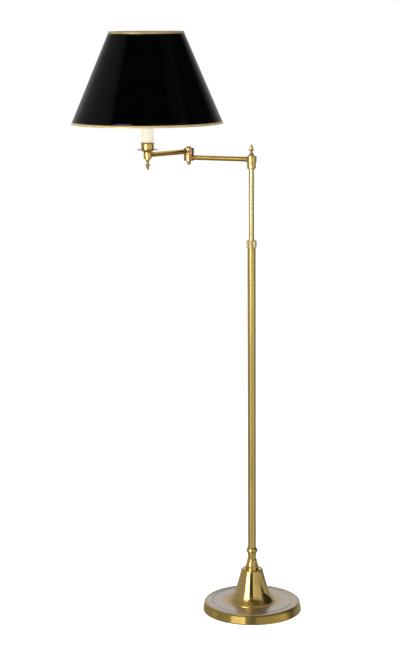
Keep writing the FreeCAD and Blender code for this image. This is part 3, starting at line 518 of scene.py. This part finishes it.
M["nylon"] = plain("nylon_natural", (0.78, 0.76, 0.68), 0.45)
M["liner"] = plain("liner_card_brown", (0.42, 0.30, 0.18), 0.8, 0.0, 0.15, 400.0, 0.0001)
M["aluminium"] = plain("aluminium_spun", (0.80, 0.80, 0.80), 0.25, 1.0, 0.05)
M["wire"] = plain("wire_brass_plated", (0.70, 0.58, 0.32), 0.25, 1.0)


def sleeve_material():
    m, t, bsdf = material("ivory_candle_cover")
    p = t.coords((HX, HY, 0))
    grain = t.noise(t.coords((HX, HY, 0), (1, 1, 0.2)), 130.0, 4.0, 0.6)
    col = t.mix(t.ramp01(grain, 0.3, 0.7), (0.86, 0.82, 0.70), (0.81, 0.76, 0.62))
    t.link(col, bsdf.inputs["Base Color"])
    t.link(t.ramp01(grain, 0.3, 0.7, 0.34, 0.48), bsdf.inputs["Roughness"])
    bsdf.inputs["Subsurface Weight"].default_value = 0.25
    bsdf.inputs["Subsurface Radius"].default_value = (1.0, 0.7, 0.4)
    bsdf.inputs["Subsurface Scale"].default_value = 0.002
    t.link(t.bump(t.noise(p, 700.0, 3.0, 0.5), 0.25, 0.00006), bsdf.inputs["Normal"])
    return m


M["sleeve"] = sleeve_material()


def bulb_material():
    m, t, bsdf = material("bulb_frosted_glass")
    p = t.coords((HX, HY, 0))
    t.link(t.mix(t.ramp01(t.noise(p, 60.0, 3.0, 0.5), 0.3, 0.7), (0.92, 0.91, 0.87),
                 (0.86, 0.84, 0.79)), bsdf.inputs["Base Color"])
    t.link(t.ramp01(t.noise(p, 1500.0, 2.0, 0.5), 0.3, 0.7, 0.18, 0.30),
           bsdf.inputs["Roughness"])
    bsdf.inputs["Transmission Weight"].default_value = 0.35
    bsdf.inputs["IOR"].default_value = 1.45
    t.link(t.bump(t.noise(p, 1200.0, 2.0, 0.5), 0.15, 0.00003), bsdf.inputs["Normal"])
    return m


M["bulb"] = bulb_material()


def lacquer_black():
    """Lacquered card, glossy and black, slightly uneven like coated paper."""
    m, t, bsdf = material("black_gloss_card")
    p = t.coords((HX, HY, 0))
    n = t.noise(p, 22.0, 4.0, 0.55)
    t.link(t.mix(t.ramp01(n, 0.3, 0.7), (0.0003, 0.0004, 0.0004), (0.0007, 0.0008, 0.0008)),
           bsdf.inputs["Base Color"])
    t.link(t.ramp01(t.noise(p, 60.0, 4.0, 0.6), 0.3, 0.7, 0.04, 0.08),
           bsdf.inputs["Roughness"])
    bsdf.inputs["IOR"].default_value = 1.28
    b = t.bump(t.noise(p, 9.0, 2.0, 0.5), 0.10, 0.0004)
    b = t.bump(t.noise(p, 700.0, 2.0, 0.5), 0.08, 0.00003, b)
    t.link(b, bsdf.inputs["Normal"])
    return m


def lining_white():
    m, t, bsdf = material("white_shade_lining")
    p = t.coords((HX, HY, 0))
    n = t.noise(p, 260.0, 5.0, 0.6)
    t.link(t.mix(t.ramp01(n, 0.3, 0.7), (0.84, 0.82, 0.76), (0.78, 0.75, 0.68)),
           bsdf.inputs["Base Color"])
    bsdf.inputs["Roughness"].default_value = 0.75
    t.link(t.bump(n, 0.3, 0.0001), bsdf.inputs["Normal"])
    return m


def gold_tape(name, node, painted_shade_scale):
    """Folded gold tape: a padded band, brighter along its upper roll."""
    m, t, bsdf = material(name)
    lo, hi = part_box(node)
    mid, reach = (lo[2] + hi[2]) / 2.0, (hi[2] - lo[2]) / 2.0
    p = t.coords((HX, HY, 0))
    x, y, z = t.split(p)
    n = t.noise(p, 70.0, 4.0, 0.6)
    fine = t.noise(p, 1800.0, 2.0, 0.5)
    across = t.math("DIVIDE", t.math("SUBTRACT", z, mid), reach)
    pad = t.math("SUBTRACT", 1.0, t.math("MULTIPLY", across, across))
    col = t.mix(t.ramp01(n, 0.35, 0.7), tuple(c * painted_shade_scale for c in (0.70, 0.55, 0.27)),
                tuple(c * painted_shade_scale for c in (0.58, 0.43, 0.18)))
    t.link(col, bsdf.inputs["Base Color"])
    bsdf.inputs["Metallic"].default_value = 0.35
    t.link(t.ramp01(fine, 0.3, 0.7, 0.30, 0.42), bsdf.inputs["Roughness"])
    b = t.bump(pad, 1.0, 0.0007)
    b = t.bump(fine, 0.3, 0.00005, b)
    b = t.bump(n, 0.3, 0.0001, b)
    t.link(b, bsdf.inputs["Normal"])
    return m


M["black"] = lacquer_black()
M["lining"] = lining_white()
# painted shade: the upper tape is given a darker copy of the same gold as the lower
M["tape_top"] = gold_tape("gold_tape_upper", "shade_trim_top", 0.58)
M["tape_low"] = gold_tape("gold_tape_lower", "shade_trim_bottom", 0.92)

LOOK = {
    "base_felt_pad": "felt", "base_weight": "iron", "base_disc": "disc",
    "cord_inlet_bushing": "black_plastic", "base_washer": "steel", "base_hex_nut": "steel",
    "base_threaded_rod": "steel", "base_bell": "bell", "stem_vase": "pole_turned",
    "pole_foot_plug": "plain_brass", "lower_pole_tube": "pole", "pole_guide_bush": "nylon",
    "lock_collet": "nylon", "height_lock_nut": "lock_nut", "upper_pole_tube": "upper_pole",
    "upper_pole_stop_bush": "nylon", "hub_lower_collar": "pole_turned",
    "hub_pivot_stud": "plain_brass", "hub_friction_washer": "nylon",
    "hub_knuckle": "pole_turned", "top_finial": "pole_turned", "inner_arm_tube": "inner_arm",
    "elbow_lower_knuckle": "elbow", "elbow_pivot_pin": "plain_brass",
    "elbow_friction_washer": "nylon", "elbow_ball_nut": "elbow", "elbow_cap": "elbow",
    "elbow_upper_knuckle": "elbow", "outer_arm_tube": "outer_arm", "head_knuckle": "head",
    "bottom_finial": "head", "lamp_nipple": "plain_brass", "drip_pan": "pan",
    "candle_cup": "head", "nipple_lock_nut": "plain_brass", "candle_sleeve": "sleeve",
    "socket_cap": "socket", "socket_shell": "socket", "socket_liner": "liner",
    "socket_body": "black_plastic", "socket_screw_shell": "aluminium",
    "socket_centre_contact": "plain_brass", "switch_knob": "black_plastic",
    "fitter_seat_ring": "plain_brass", "fitter_hub_ring": "plain_brass",
    "shade_ring_nut": "plain_brass", "fitter_spokes": "wire", "shade_top_ring": "wire",
    "shade_bottom_ring": "wire", "shade_card": "black", "shade_trim_top": "tape_top",
    "shade_trim_bottom": "tape_low", "bulb_base": "aluminium", "bulb_glass": "bulb",
}
for node, look in LOOK.items():
    ob = NODES[node]
    if not ob.material_slots:
        ob.data.materials.append(M[look])
    else:
        for s in ob.material_slots:
            s.material = M[look]


# ------------------------------------------------------------------- shade
def lathe_mesh(name, outline, centre, steps, faces_of=None, materials=(), close=True):
    """Mesh turned about a vertical axis from an outline of (radius, height)."""
    verts, faces, mats = [], [], []
    n = len(outline)
    for i in range(steps):
        a = 2.0 * math.pi * i / steps
        for r, z in outline:
            verts.append((centre[0] + r * math.cos(a), centre[1] + r * math.sin(a), z))
    spans = n if close else n - 1
    for i in range(steps):
        j = (i + 1) % steps
        for k in range(spans):
            q = (k + 1) % n
            faces.append((i * n + k, j * n + k, j * n + q, i * n + q))
            mats.append(faces_of(k) if faces_of else 0)
    mesh = bpy.data.meshes.new(name)
    mesh.from_pydata(verts, [], faces)
    for m in materials:
        mesh.materials.append(m)
    for poly, mi in zip(mesh.polygons, mats):
        poly.material_index = mi
        poly.use_smooth = True
    mesh.update()
    ob = bpy.data.objects.new(name, mesh)
    scene.collection.objects.link(ob)
    return ob


def make_shade():
    lo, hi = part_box("shade_card")
    low_ring, high_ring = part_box("shade_trim_bottom"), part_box("shade_trim_top")
    k = ((low_ring[1][0] - low_ring[0][0]) / 2.0 - (high_ring[1][0] - high_ring[0][0]) / 2.0)
    # the upper tape's widest circle is its lower edge, one tape width down
    k /= (high_ring[0][2] - low_ring[0][2])
    z0, z1 = lo[2], hi[2]
    r0 = (hi[0] - lo[0]) / 2.0
    thick = 0.00125

    def r_at(z):
        return r0 - (z - z0) * k

    outline, kinds = [], []
    rows = 24
    for i in range(rows + 1):
        z = z0 + (z1 - z0) * i / rows
        outline.append((r_at(z), z))
        kinds.append(0)
    for i in range(rows + 1):
        z = z1 - (z1 - z0) * i / rows
        outline.append((r_at(z) - thick, z))
        kinds.append(1)
    kinds[rows] = 1
    ob = lathe_mesh("shade_paper", outline, HEAD, 256, lambda q: kinds[q],
                    (M["black"], M["lining"]))
    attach(ob, "outer_arm")
    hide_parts("shade_card")


make_shade()
